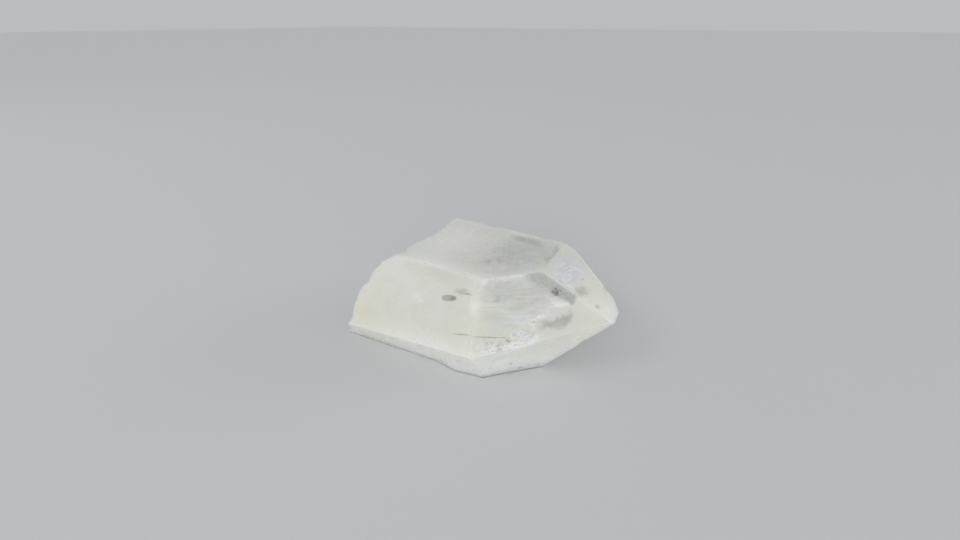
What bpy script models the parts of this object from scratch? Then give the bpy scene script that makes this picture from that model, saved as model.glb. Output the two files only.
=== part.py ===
"""Clear quartz point: one natural crystal, lying on a prism face, with a rough broken base.

The crystal's long axis, its c-axis, lies along +X with the tip at +X, and +Z is up. The origin is
under the middle of the crystal's box, on the plane that it rests on.

A quartz point is bounded by flat growth faces. Six prism faces (m1 to m6) stand round the c-axis at
steps of about 60 degrees, and six pyramid faces (t1 to t6), one over each, lean to the tip. The
angles are nearly those of any quartz crystal, and the unequal distances give this one its form.
"""

import math

import bmesh
import bpy
from mathutils import Vector

MM = 0.001  # every size below is in millimetres

# ---------------------------------------------------------------- driving dimensions

AXIS_X = 12.0  # the face distances are measured from this point on the c-axis
AXIS_Y = -0.6
AXIS_HEIGHT = 17.0
ROUGH_BLOCK = 400.0  # side of the block that the faces are cut from
CUT_TOLERANCE = 0.00001  # a corner this near to a cut counts as on it

# Each face: turn about the c-axis (0 is up, 90 is the front), lean from the c-axis, distance.
PRISM_FACES = {
    "m1_top": (0.5, 91.5, 17.8),
    "m2_front_upper": (63.5, 91.5, 23.7),
    "m3_front_lower": (121.0, 86.5, 26.8),
    "m4_rest": (180.0, 90.0, AXIS_HEIGHT),
    "m5_back_lower": (240.0, 90.0, 25.7),
    "m6_back_upper": (301.3, 88.0, 25.7),
}
PYRAMID_FACES = {
    "t1_top": (357.1, 54.3, 20.7),
    "t2_front_upper": (61.0, 53.8, 17.2),
    "t3_front_lower": (117.0, 47.0, 19.4),
    "t4_bottom": (185.9, 48.7, 21.3),
    "t5_back_lower": (236.5, 54.3, 25.8),
    "t6_back_upper": (305.7, 55.6, 28.4),
}

# The swelling low on the front: two shallow facets that meet in a crest over the bottom edge.
SWELLING_TURN = 112.0
SWELLING_TIP_LEAN = 80.5
SWELLING_BASE_LEAN = 97.0
SWELLING_CREST = (1.6, -24.2, 0.0)
SWELLING_FOOT = (-12.0, -16.5, 10.5)  # the inner corner of its box, inside the crystal
SWELLING_END = (11.9, -40.0, 0.0)

# The broken base: a plane across the crystal, with shell-shaped lumps, ribs and hackle on it.
BREAK_TURN = -11.0
BREAK_LEAN = 152.0
BREAK_DISTANCE = 41.6
BREAK_MIDDLE = (-5.0, -21.0)  # moved across and up the plane, to the middle of the broken face
BREAK_WIDTH = 84.0
BREAK_HEIGHT = 60.0
BREAK_CELL = 1.1
BREAK_DEPTH = 30.0
BREAK_SPARE = 12.0  # how much longer the crystal is cut before its base breaks off
# Each lump: across, up, radius, height (a hollow is below zero).
BREAK_LUMPS = (
    (15.9, 16.4, 8.6, 3.0),
    (-19.4, 4.5, 17.0, 2.4),
    (-13.7, 23.0, 5.6, -4.1),
    (-30.4, -12.1, 6.6, -4.3),
    (6.6, 7.9, 12.1, -4.9),
    (13.0, -9.0, 7.0, 2.4),
    (-8.0, -13.0, 8.0, -2.2),
    (23.2, 18.1, 3.2, 1.8),
    (6.3, 20.5, 3.5, 1.3),
)
RIB_CENTRE = (-27.0, 12.0)  # the ribs are rings round the point where the crystal was struck
RIB_SPACING = 7.5
RIB_HEIGHT = 0.4
CREST_ROUNDING = 0.12  # how blunt the crests of the ribs and the hackle are
# Each hackle wave: direction in degrees, spacing, height.
HACKLE = (
    (24.0, 9.1, 0.32),
    (81.0, 5.3, 0.2),
    (137.0, 6.7, 0.26),
)
HACKLE_SWAY = 0.35  # how far a hackle line sways sideways, in spacings
HACKLE_SWAY_LENGTH = 3.0  # the length of one sway, in spacings

# Chips on the edges: the two faces whose edge it sits on, its place along X, radius, depth.
CHIPS = (
    ("m1_top", "m6_back_upper", -9.0, 3.4, 0.55),
    ("m1_top", "m6_back_upper", 13.0, 2.4, 0.4),
    ("m1_top", "m2_front_upper", -17.0, 2.6, 0.3),
    ("m3_front_lower", "m4_rest", -27.0, 3.0, 0.45),
    ("m3_front_lower", "m4_rest", -12.0, 2.2, 0.4),
    ("t3_front_lower", "m4_rest", 18.0, 2.4, 0.5),
    ("t3_front_lower", "t4_bottom", 37.0, 2.6, 0.45),
    ("t1_top", "t6_back_upper", 38.0, 2.0, 0.45),
    ("m5_back_lower", "m6_back_upper", -14.0, 4.2, 0.8),
    ("m5_back_lower", "m6_back_upper", 9.0, 2.8, 0.5),
    ("m4_rest", "m5_back_lower", -22.0, 3.6, 0.6),
    ("m4_rest", "m5_back_lower", 4.0, 2.6, 0.5),
    ("t5_back_lower", "t6_back_upper", 32.0, 2.6, 0.5),
)
CHIP_FLATTENING = 0.6  # how thick a chip's ball is over its edge, as a share of its width
CHIP_SUBDIVISIONS = 2

# Growth layers on the hidden faces: the face, where the layer starts and ends along X, thickness.
GROWTH_LAYERS = (
    ("m6_back_upper", -21.0, -3.0, 0.5),
    ("m6_back_upper", 6.0, 15.0, 0.35),
    ("m5_back_lower", -18.0, 3.0, 0.45),
    ("t5_back_lower", 28.0, 36.0, 0.35),
)
LAYER_INSET = 0.2  # how far a layer stops short of the neighbouring faces
LAYER_END_SLOPE = 12.0  # degrees that a layer's ends lean from square across the crystal

QUARTZ_COLOUR = (0.72, 0.73, 0.68, 1.0)
QUARTZ_ROUGHNESS = 0.12


# ---------------------------------------------------------------- planes and points


def face_normal(turn, lean):
    """The outward direction of a face that is turned about +X and leans from +X, in degrees."""
    turn_rad = math.radians(turn)
    lean_rad = math.radians(lean)
    across = math.sin(lean_rad)
    return Vector((math.cos(lean_rad), -math.sin(turn_rad) * across, math.cos(turn_rad) * across))


def axis_point():
    """The point on the c-axis from which the face distances are measured."""
    return Vector((AXIS_X, AXIS_Y, AXIS_HEIGHT))


def face_plane(face):
    """A face's normal and a point on it, from its turn, lean and distance."""
    turn, lean, distance = face
    normal = face_normal(turn, lean)
    return normal, axis_point() + normal * distance


def all_faces():
    """Every growth face of the crystal by name."""
    return {**PRISM_FACES, **PYRAMID_FACES}


def axis_at(face_name, place_x):
    """The point of a named face that lies straight over the c-axis at place_x."""
    normal, point = face_plane(all_faces()[face_name])
    outward = Vector((0.0, normal.y, normal.z)).normalized()
    foot = Vector((place_x, AXIS_Y, AXIS_HEIGHT))
    return foot + outward * (normal.dot(point - foot) / normal.dot(outward))


def edge_point(first, second, place_x):
    """The point at place_x on the edge where two named faces meet."""
    faces = all_faces()
    normal_a, point_a = face_plane(faces[first])
    normal_b, point_b = face_plane(faces[second])
    side_a = normal_a.dot(point_a) - normal_a.x * place_x
    side_b = normal_b.dot(point_b) - normal_b.x * place_x
    turn = normal_a.y * normal_b.z - normal_a.z * normal_b.y
    place_y = (side_a * normal_b.z - side_b * normal_a.z) / turn
    place_z = (normal_a.y * side_b - normal_b.y * side_a) / turn
    return Vector((place_x, place_y, place_z))


# ---------------------------------------------------------------- mesh helpers


def add_object(name, mesh_builder):
    """Put a finished mesh builder into the scene as an object, scaled from mm to metres."""
    bmesh.ops.scale(mesh_builder, vec=(MM, MM, MM), verts=mesh_builder.verts)
    bmesh.ops.recalc_face_normals(mesh_builder, faces=mesh_builder.faces)
    mesh = bpy.data.meshes.new(name)
    mesh_builder.to_mesh(mesh)
    mesh_builder.free()
    piece = bpy.data.objects.new(name, mesh)
    bpy.context.scene.collection.objects.link(piece)
    return piece


def cut_flat(builder, normal, point):
    """Cut away everything outside one plane and close the cut with one flat face."""
    geometry = builder.verts[:] + builder.edges[:] + builder.faces[:]
    result = bmesh.ops.bisect_plane(
        builder,
        geom=geometry,
        dist=CUT_TOLERANCE,
        plane_co=point,
        plane_no=normal,
        clear_outer=True,
    )
    rim = [item for item in result["geom_cut"] if isinstance(item, bmesh.types.BMEdge)]
    if rim:
        bmesh.ops.edgeloop_fill(builder, edges=rim)


def faceted_block(planes):
    """A convex solid bounded by the given planes, cut from a large cube."""
    builder = bmesh.new()
    bmesh.ops.create_cube(builder, size=ROUGH_BLOCK)
    for normal, point in planes:
        cut_flat(builder, normal, point)
    return builder


def apply_tool(target, tool, operation):
    """Join or cut target with tool, which stays in the file as a guide only."""
    tool.hide_render = True
    tool.display_type = "WIRE"
    modifier = target.modifiers.new(tool.name, "BOOLEAN")
    modifier.operation = operation
    modifier.solver = "EXACT"
    modifier.object = tool


# ---------------------------------------------------------------- the growth faces


def build_crystal():
    """The crystal as it grew: a block cut by its six prism faces and its pyramid faces."""
    planes = [face_plane(face) for face in all_faces().values()]
    planes.append(face_plane((BREAK_TURN, BREAK_LEAN, BREAK_DISTANCE + BREAK_SPARE)))
    return add_object("crystal", faceted_block(planes))


def build_swelling():
    """A low swelling over the bottom front edge, where the prism face grew out of line."""
    crest = Vector(SWELLING_CREST)
    foot = Vector(SWELLING_FOOT)
    end = Vector(SWELLING_END)
    planes = [
        (face_normal(SWELLING_TURN, SWELLING_TIP_LEAN), crest),
        (face_normal(SWELLING_TURN, SWELLING_BASE_LEAN), crest),
        (Vector((0.0, 0.0, -1.0)), crest),
        (Vector((0.0, 0.0, 1.0)), foot),
        (Vector((0.0, 1.0, 0.0)), foot),
        (Vector((-1.0, 0.0, 0.0)), foot),
        (Vector((1.0, 0.0, 0.0)), end),
        face_plane(PYRAMID_FACES["t3_front_lower"]),
    ]
    return add_object("swelling", faceted_block(planes))


def build_growth_layer(number, layer):
    """The last layer that grew on a face: the crystal again, with that face a little further out."""
    face_name, start, end, thickness = layer
    planes = []
    for name, face in all_faces().items():
        turn, lean, distance = face
        distance += thickness if name == face_name else -LAYER_INSET
        planes.append(face_plane((turn, lean, distance)))
    turn = all_faces()[face_name][0]
    planes.append((face_normal(turn, LAYER_END_SLOPE), axis_at(face_name, end)))
    planes.append((-face_normal(turn, -LAYER_END_SLOPE), axis_at(face_name, start)))
    return add_object(f"growth_layer_{number}", faceted_block(planes))


# ---------------------------------------------------------------- the broken base


def ridge(phase):
    """A wave with narrow crests and round troughs, from about -1 to 1."""
    return 1.0 - 2.0 * math.hypot(math.sin(phase), CREST_ROUNDING)


def break_relief(across, up):
    """Height of the broken face over its plane: shell-shaped lumps, ribs and hackle."""
    height = 0.0
    for lump_across, lump_up, radius, lump_height in BREAK_LUMPS:
        reach = math.hypot(across - lump_across, up - lump_up) / radius
        height += lump_height * math.exp(-reach * reach)
    from_strike = math.hypot(across - RIB_CENTRE[0], up - RIB_CENTRE[1])
    height += RIB_HEIGHT * ridge(math.pi * from_strike / RIB_SPACING)
    for direction, spacing, wave_height in HACKLE:
        angle = math.radians(direction)
        along = across * math.cos(angle) + up * math.sin(angle)
        sway = math.sin(math.tau * (across - up) / (HACKLE_SWAY_LENGTH * spacing))
        height += wave_height * ridge(math.pi * (along / spacing + HACKLE_SWAY * sway))
    return height


def break_frame():
    """The broken face's middle, its outward normal, and its across and up directions."""
    normal, point = face_plane((BREAK_TURN, BREAK_LEAN, BREAK_DISTANCE))
    across = normal.cross(Vector((0.0, 0.0, 1.0))).normalized()
    up = across.cross(normal)
    middle = point + across * BREAK_MIDDLE[0] + up * BREAK_MIDDLE[1]
    return middle, normal, across, up


def build_break():
    """What broke off: a block outside the rough surface, to be cut from the crystal."""
    middle, normal, across, up = break_frame()
    builder = bmesh.new()
    columns = round(BREAK_WIDTH / BREAK_CELL)
    rows = round(BREAK_HEIGHT / BREAK_CELL)
    bmesh.ops.create_grid(builder, x_segments=columns, y_segments=rows, size=0.5)
    for vert in builder.verts:
        place_across = vert.co.x * BREAK_WIDTH
        place_up = vert.co.y * BREAK_HEIGHT
        height = break_relief(place_across, place_up)
        vert.co = middle + across * place_across + up * place_up + normal * height
    bmesh.ops.triangulate(builder, faces=builder.faces[:])
    outer = bmesh.ops.extrude_face_region(builder, geom=builder.faces[:])
    far_side = [item for item in outer["geom"] if isinstance(item, bmesh.types.BMVert)]
    for vert in far_side:
        vert.co += normal * (BREAK_DEPTH - normal.dot(vert.co - middle))
    return add_object("broken_off", builder)


# ---------------------------------------------------------------- chips


def build_chips():
    """Shallow shell-shaped nicks in the edges: flattened balls that bite into an edge."""
    faces = all_faces()
    builder = bmesh.new()
    for first, second, place_x, radius, depth in CHIPS:
        corner = edge_point(first, second, place_x)
        normal_a, _ = face_plane(faces[first])
        normal_b, _ = face_plane(faces[second])
        outward = (normal_a + normal_b).normalized()
        ball = bmesh.ops.create_icosphere(builder, subdivisions=CHIP_SUBDIVISIONS, radius=radius)
        centre = corner + outward * (radius * CHIP_FLATTENING - depth)
        for vert in ball["verts"]:
            squeezed = vert.co - outward * (outward.dot(vert.co) * (1.0 - CHIP_FLATTENING))
            vert.co = centre + squeezed
    return add_object("chips", builder)


# ---------------------------------------------------------------- material and assembly


def quartz_material():
    """Milky to clear quartz, with the gloss of a natural crystal face."""
    material = bpy.data.materials.new("quartz")
    material.use_nodes = True
    shader = material.node_tree.nodes["Principled BSDF"]
    shader.inputs["Base Color"].default_value = QUARTZ_COLOUR
    shader.inputs["Roughness"].default_value = QUARTZ_ROUGHNESS
    shader.inputs["Metallic"].default_value = 0.0
    return material


def main():
    for old in list(bpy.data.objects):
        bpy.data.objects.remove(old)
    crystal = build_crystal()
    apply_tool(crystal, build_swelling(), "UNION")
    for number, layer in enumerate(GROWTH_LAYERS):
        apply_tool(crystal, build_growth_layer(number, layer), "UNION")
    apply_tool(crystal, build_break(), "DIFFERENCE")
    apply_tool(crystal, build_chips(), "DIFFERENCE")
    crystal.data.materials.append(quartz_material())


main()
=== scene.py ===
import itertools
import math

import bmesh
import bpy
import numpy as np
from mathutils import Matrix, Vector


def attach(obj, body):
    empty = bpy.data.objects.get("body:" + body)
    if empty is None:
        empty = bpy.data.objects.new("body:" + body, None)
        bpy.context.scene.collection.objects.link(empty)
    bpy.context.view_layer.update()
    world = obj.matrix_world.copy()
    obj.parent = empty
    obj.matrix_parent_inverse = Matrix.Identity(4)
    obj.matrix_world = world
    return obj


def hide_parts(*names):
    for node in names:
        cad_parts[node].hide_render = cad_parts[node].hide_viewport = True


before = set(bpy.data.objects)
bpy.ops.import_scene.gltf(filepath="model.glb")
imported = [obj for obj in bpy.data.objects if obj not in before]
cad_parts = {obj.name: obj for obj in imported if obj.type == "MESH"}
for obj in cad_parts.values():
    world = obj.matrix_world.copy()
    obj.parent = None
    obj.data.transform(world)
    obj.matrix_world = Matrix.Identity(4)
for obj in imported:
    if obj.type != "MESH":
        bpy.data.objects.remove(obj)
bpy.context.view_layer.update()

MM = 0.001  # every size below is in millimetres

# -------------------------------- the crystal's form

AXIS_POINT = np.array((12.0, -0.6, 17.0))  # the face distances are measured from here, on the c-axis

# Each face: turn about the c-axis (0 is up, 90 is the front), lean from the c-axis, distance.
FACES = {
    "m1_top": (0.5, 91.5, 17.8),
    "m2_front_upper": (63.5, 91.5, 23.7),
    "m3_front_lower": (121.0, 86.5, 26.8),
    "m4_rest": (180.0, 90.0, 17.0),
    "m5_back_lower": (240.0, 90.0, 25.7),
    "m6_back_upper": (301.3, 88.0, 25.7),
    "t1_top": (357.1, 54.3, 20.7),
    "t2_front_upper": (61.0, 53.8, 17.2),
    "t3_front_lower": (117.0, 47.0, 19.4),
    "t4_bottom": (185.9, 48.7, 21.3),
    "t5_back_lower": (236.5, 54.3, 25.8),
    "t6_back_upper": (305.7, 55.6, 28.4),
}

SWELLING_TURN = 112.0
SWELLING_LEANS = (80.5, 97.0)  # its facets towards the tip and towards the base
SWELLING_CREST = np.array((1.6, -24.2, 0.0))
SWELLING_LOW = np.array((-12.0, -60.0, 0.0))  # the box that the swelling lies in
SWELLING_HIGH = np.array((11.9, -16.5, 10.5))

BREAK_PLANE = (-11.0, 152.0, 41.6)
BREAK_SPARE = 12.0  # how much longer the crystal is made before its base is cut
BREAK_MIDDLE = (-5.0, -21.0)  # moved across and up the plane, to the middle of the broken face
BREAK_SIZE = (84.0, 60.0)
BREAK_CELL = 0.6
BREAK_DEPTH = 30.0
# Each lump: across, up, radius, height (a hollow is below zero).
BREAK_LUMPS = (
    (15.9, 16.4, 8.6, 3.0),
    (-19.4, 4.5, 17.0, 2.4),
    (-13.7, 23.0, 5.6, -4.1),
    (-30.4, -12.1, 6.6, -4.3),
    (6.6, 7.9, 12.1, -4.9),
    (13.0, -9.0, 7.0, 2.4),
    (-8.0, -13.0, 8.0, -2.2),
    (23.2, 18.1, 3.2, 1.8),
    (6.3, 20.5, 3.5, 1.3),
)
RIB_CENTRE = (-27.0, 12.0)  # the ribs are rings round the point where the crystal was struck
RIB_SPACING = 7.5
RIB_HEIGHT = 0.4
CREST_ROUNDING = 0.12  # how blunt the crests of the ribs and the hackle are
# Each hackle wave: direction in degrees, spacing, height.
HACKLE = (
    (24.0, 9.1, 0.32),
    (81.0, 5.3, 0.2),
    (137.0, 6.7, 0.26),
)
# The sugary grain: waves that only cut in.
GRAIN = (
    (52.0, 3.1, 0.13),
    (111.0, 2.3, 0.1),
    (164.0, 1.7, 0.07),
)
# Small steps along the broken face's rim: as the lumps.
BREAK_NICKS = (
    (-21.4, 6.3, 1.7, -1.1),
    (-17.4, 15.0, 1.8, 0.6),
    (-23.7, 1.1, 1.6, 0.6),
    (-25.4, -1.9, 1.1, -0.6),
    (-26.9, -4.8, 1.3, -0.5),
    (-14.6, 19.0, 1.3, -0.6),
    (1.0, 19.0, 1.4, 0.5),
    (-11.0, 19.0, 1.4, 0.5),
    (16.9, 17.7, 1.5, -0.4),
    (-29.4, -10.0, 1.6, 0.6),
    (-28.0, -13.2, 1.8, 0.6),
    (-26.6, -18.8, 1.3, -0.5),
)
HACKLE_SWAY = 0.35  # how far a hackle line sways sideways, in spacings
HACKLE_SWAY_LENGTH = 3.0  # the length of one sway, in spacings

# Chips: the two faces whose edge it sits on, its place along X, radius, depth.
CHIPS = (
    ("m1_top", "m6_back_upper", -9.0, 3.4, 0.55),
    ("m1_top", "m6_back_upper", 13.0, 2.4, 0.4),
    ("m1_top", "m2_front_upper", -17.0, 2.6, 0.3),
    ("m3_front_lower", "m4_rest", -27.0, 2.4, 0.2),
    ("m3_front_lower", "m4_rest", -12.0, 1.8, 0.2),
    ("t3_front_lower", "m4_rest", 18.0, 2.4, 0.5),
    ("t3_front_lower", "t4_bottom", 37.0, 2.6, 0.45),
    ("t1_top", "t6_back_upper", 38.0, 2.0, 0.45),
    ("m5_back_lower", "m6_back_upper", -14.0, 4.2, 0.8),
    ("m5_back_lower", "m6_back_upper", 9.0, 2.8, 0.5),
    ("m4_rest", "m5_back_lower", -22.0, 3.6, 0.6),
    ("m4_rest", "m5_back_lower", 4.0, 2.6, 0.5),
    ("t5_back_lower", "t6_back_upper", 32.0, 2.6, 0.5),
)
CHIP_FLATTENING = 0.6  # how thick a chip's ball is over its edge, as a share of its width
CHIP_GRID = (12, 20)

# Growth layers: the face, where the layer starts and ends along X, thickness.
GROWTH_LAYERS = (
    ("m6_back_upper", -21.0, -3.0, 0.5),
    ("m6_back_upper", 6.0, 15.0, 0.35),
    ("m5_back_lower", -18.0, 3.0, 0.45),
    ("t5_back_lower", 28.0, 36.0, 0.35),
)
LAYER_INSET = 0.2  # how far a layer stops short of the neighbouring faces
LAYER_END_SLOPE = 12.0  # degrees that a layer's ends lean from square across the crystal

EDGE_WEAR = 0.08  # how far the worn edges are rounded off
EDGE_STEPS = 2
CORNER_MERGE = 0.15  # corners nearer than this are one
SHARP_ANGLE = 32.0  # steeper creases than this stay sharp

SAME_POINT = 1e-7  # in metres, as the next one
SHORTEST_EDGE = 1e-9
LEAST_VOLUME = 1e-6  # three planes with less than this between their normals have no corner
ROUND_DIGITS = 6  # corners that are the same to this many digits are one
ON_FACE = 1e-4  # a corner nearer than this to a plane is on it

# -------------------------------- inside the crystal

RIND = 0.3  # the clear quartz over the milky heart
SWELLING_RIND = 0.3  # how much deeper the heart lies under the swelling
HEART_ROUNDING = 8.0  # how tightly the heart follows the crystal's edges, per mm
HEART_GRID = (200, 480)
HEART_MIDDLE = np.array((-2.0, 0.0, 16.0))
HEART_STRETCH = 2.0  # how far the grid's directions are drawn towards the crystal's two ends
HEART_REACH = 80.0  # farther from the middle than any point of the crystal
HEART_HALVINGS = 24  # how often the way to the heart's surface is halved to find it
# Clear patches under the faces: the face, along, across, half length, half width, turn, how clear
# the surface is, how deep the clear quartz goes.
CLEAR_PATCHES = (
    ("m1_top", 0.0, 4.5, 15.0, 16.5, 0.0, 0.56, 3.0),
    ("m1_top", 2.0, -8.5, 9.0, 5.0, 35.0, 0.3, 2.0),
    ("t2_front_upper", -3.0, 3.5, 14.0, 7.5, 17.0, 0.5, 1.5),
    ("t2_front_upper", -9.0, 4.8, 12.0, 5.5, 17.0, 0.6, 1.5),
    ("t2_front_upper", -8.0, -3.5, 8.0, 4.0, 12.0, 0.25, 1.0),
    ("t2_front_upper", -8.5, -13.0, 8.0, 2.8, 12.0, 0.4, 0.5),
    ("t2_front_upper", 0.5, -7.6, 5.5, 3.0, 25.0, 0.4, 0.5),
    ("t2_front_upper", 3.4, -1.2, 6.5, 1.6, 50.0, 0.3, 0.5),
    ("t2_front_upper", 11.0, -0.4, 5.5, 2.8, 35.0, 0.5, 1.0),
    ("t2_front_upper", 4.0, 9.0, 11.0, 3.6, -20.0, 0.0, 3.0),
    ("t1_top", 4.0, 6.5, 7.5, 12.0, 0.0, 0.2, 1.2),
    ("t1_top", 6.5, 9.8, 3.8, 4.6, 0.0, 0.25, 0.6),
    ("t1_top", 6.0, -1.8, 3.8, 2.4, 15.0, 0.5, 0.6),
    ("t1_top", 11.4, 2.5, 2.4, 4.2, -18.0, 0.3, 1.0),
    ("m6_back_upper", -4.0, 6.0, 12.0, 6.0, 10.0, 0.9, 2.5),
    ("t5_back_lower", 6.0, -7.0, 8.5, 5.0, 25.0, 0.8, 2.0),
)
PATCH_REACH = 5.0  # how far below its face a clear patch is felt
PATCH_SOFTNESS = 0.7
CLOUD_RELIEF = 0.35  # how far the heart's cloudy surface rises and falls, as a share of the depth
CLOUD_SPACING = 5.0
CLOUD_WAVES = 7
CLOUD_PITCH = (0.7, 1.4)  # the fewest and the most waves in a spacing
CLOUD_SEED = 11

# Small fractures: name, face, seed, and the lower and upper border as (along, across) points.
FRACTURES = (
    (
        "silver_fracture", "t2_front_upper", 31,
        ((-14.8, -15.6), (-9.0, -15.9), (-4.0, -13.6), (-0.5, -11.6)),
        ((-13.2, -11.8), (-9.5, -10.6), (-5.0, -10.4), (-1.5, -10.6)),
    ),
    (
        "middle_fracture", "t2_front_upper", 32,
        ((-3.5, -10.2), (0.5, -10.4), (3.6, -9.4), (4.7, -7.2)),
        ((-4.3, -8.6), (-2.2, -6.3), (0.2, -4.9), (3.6, -5.6)),
    ),
    (
        "upper_fracture", "t2_front_upper", 33,
        ((0.5, -5.0), (3.0, -3.2), (5.5, -0.5), (8.0, 2.2)),
        ((-0.6, -4.9), (1.5, -2.0), (3.8, 1.5), (6.2, 3.8)),
    ),
    (
        "edge_fracture", "t1_top", 34,
        ((3.0, -5.0), (6.0, -4.4), (9.5, -2.6)),
        ((3.6, 0.2), (5.6, 0.6), (8.0, 1.0)),
    ),
    (
        "top_fracture", "t1_top", 35,
        ((2.5, 6.0), (6.0, 7.5), (10.0, 8.2)),
        ((3.4, 13.2), (6.0, 15.0), (9.5, 13.8)),
    ),
)
FRACTURE_DEPTH = 0.4  # how deep it lies under its face
FRACTURE_CELL = 0.42
FRACTURE_CRINKLE = 0.2  # how far apart in depth its facets' corners are
FRACTURE_JITTER = 0.3  # how far a corner strays sideways, in cells
FEWEST_CORNERS = 3


def unit(vectors):
    """Vectors divided by their lengths."""
    vectors = np.asarray(vectors, float)
    return vectors / np.linalg.norm(vectors, axis=-1, keepdims=True)


def face_normals(turns, leans):
    """Outward directions of faces: (cos lean, -sin turn sin lean, cos turn sin lean)."""
    turns = np.radians(turns)
    leans = np.radians(leans)
    return np.stack(
        (np.cos(leans), -np.sin(turns) * np.sin(leans), np.cos(turns) * np.sin(leans)), axis=-1
    )


def planes(faces):
    """Normals and offsets of faces: a point p is inside a face while normal . p < offset."""
    turns, leans, distances = np.array(list(faces), float).T
    normals = face_normals(turns, leans)
    return normals, normals @ AXIS_POINT + distances


NORMALS, OFFSETS = planes(FACES.values())
FACE_NUMBER = {name: number for number, name in enumerate(FACES)}


def add_planes(normals, offsets, extra_normals, extra_points):
    """Planes together with further ones, each given by its normal and a point on it."""
    extra_normals = np.array(extra_normals, float)
    extra_offsets = (extra_normals * np.array(extra_points, float)).sum(axis=1)
    return np.vstack((normals, extra_normals)), np.append(offsets, extra_offsets)


def swelling_planes():
    """The swelling: two facets that meet in its crest, the tip face over it, and a box round it."""
    facets = face_normals((SWELLING_TURN, SWELLING_TURN), SWELLING_LEANS)
    number = FACE_NUMBER["t3_front_lower"]
    box_normals = np.array(((0, 0, -1), (0, 0, 1), (0, 1, 0), (-1, 0, 0), (1, 0, 0)), float)
    box_points = (SWELLING_LOW, SWELLING_HIGH, SWELLING_HIGH, SWELLING_LOW, SWELLING_HIGH)
    return add_planes(
        NORMALS[number : number + 1],
        OFFSETS[number : number + 1],
        np.vstack((facets, box_normals)),
        (SWELLING_CREST, SWELLING_CREST, *box_points),
    )


SWELLING_NORMALS, SWELLING_OFFSETS = swelling_planes()


def ridge(phase):
    """A wave with narrow crests and round troughs: 1 - 2 hypot(sin phase, rounding)."""
    return 1.0 - 2.0 * np.hypot(np.sin(phase), CREST_ROUNDING)


def break_relief(across, up):
    """Height of the broken face: bell-shaped lumps, rings round the strike, hackle waves, and
    the grain, which takes its own height times 1 - ridge away."""
    height = np.zeros_like(across)
    for lump_across, lump_up, radius, lump_height in BREAK_LUMPS + BREAK_NICKS:
        reach = np.hypot(across - lump_across, up - lump_up) / radius
        height += lump_height * np.exp(-reach * reach)
    from_strike = np.hypot(across - RIB_CENTRE[0], up - RIB_CENTRE[1])
    height += RIB_HEIGHT * ridge(np.pi * from_strike / RIB_SPACING)
    for direction, spacing, wave_height in HACKLE:
        height += wave_height * hackle_wave(across, up, direction, spacing)
    for direction, spacing, wave_height in GRAIN:
        height -= wave_height * (1.0 - hackle_wave(across, up, direction, spacing))
    return height


def hackle_wave(across, up, direction, spacing):
    """Swaying crests: ridge(pi (along / spacing + sway)), sway being a sine of across - up."""
    angle = math.radians(direction)
    along = across * math.cos(angle) + up * math.sin(angle)
    sway = np.sin(math.tau * (across - up) / (HACKLE_SWAY_LENGTH * spacing))
    return ridge(np.pi * (along / spacing + HACKLE_SWAY * sway))


def break_frame():
    """The broken face's middle, and its across, up and outward directions."""
    normal = planes([BREAK_PLANE])[0][0]
    point = AXIS_POINT + normal * BREAK_PLANE[2]
    across = unit(np.cross(normal, (0.0, 0.0, 1.0)))
    up = np.cross(across, normal)
    middle = point + across * BREAK_MIDDLE[0] + up * BREAK_MIDDLE[1]
    return middle, across, up, normal


BREAK_CENTRE, BREAK_ACROSS, BREAK_UP, BREAK_NORMAL = break_frame()


# -------------------------------- meshes


def grid_cells(rows, columns, closed=False):
    """Corner numbers of a grid's cells; a closed grid joins its last column to its first."""
    numbers = np.arange(rows * columns).reshape(rows, columns)
    if closed:
        numbers = np.hstack((numbers, numbers[:, :1]))
    corners = (numbers[:-1, :-1], numbers[:-1, 1:], numbers[1:, 1:], numbers[1:, :-1])
    return np.stack(corners, axis=-1).reshape(-1, 4)


def triangles(cells):
    """Every four-cornered cell cut into two triangles."""
    return np.vstack((cells[:, (0, 1, 2)], cells[:, (0, 2, 3)]))


def ball_points(rows, columns):
    """A ball of radius 1 round its last axis: (sin p cos a, sin p sin a, cos p), for polar angles p
    from 0 to pi and angles a once round."""
    polar, around = np.meshgrid(
        np.linspace(0.0, np.pi, rows),
        np.linspace(0.0, math.tau, columns, endpoint=False),
        indexing="ij",
    )
    ball = (np.sin(polar) * np.cos(around), np.sin(polar) * np.sin(around), np.cos(polar))
    return np.stack(ball, axis=-1).reshape(-1, 3)


def add_object(name, data):
    """A new object in the scene."""
    added = bpy.data.objects.new(name, data)
    bpy.context.scene.collection.objects.link(added)
    return added


def add_piece(name, points, cells, materials=(), smooth=True, closed=True):
    """An object at the origin, its points given in mm, with doubles merged; a closed one faces
    outwards."""
    mesh = bpy.data.meshes.new(name)
    mesh.from_pydata((np.asarray(points) * MM).tolist(), [], cells)
    builder = bmesh.new()
    builder.from_mesh(mesh)
    bmesh.ops.remove_doubles(builder, verts=builder.verts, dist=SAME_POINT)
    bmesh.ops.dissolve_degenerate(builder, edges=builder.edges, dist=SHORTEST_EDGE)
    if closed:
        bmesh.ops.recalc_face_normals(builder, faces=builder.faces)
    builder.to_mesh(mesh)
    builder.free()
    if smooth:
        mesh.shade_smooth()
    else:
        mesh.shade_flat()
    for material in materials:
        mesh.materials.append(material)
    return add_object(name, mesh)


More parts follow.
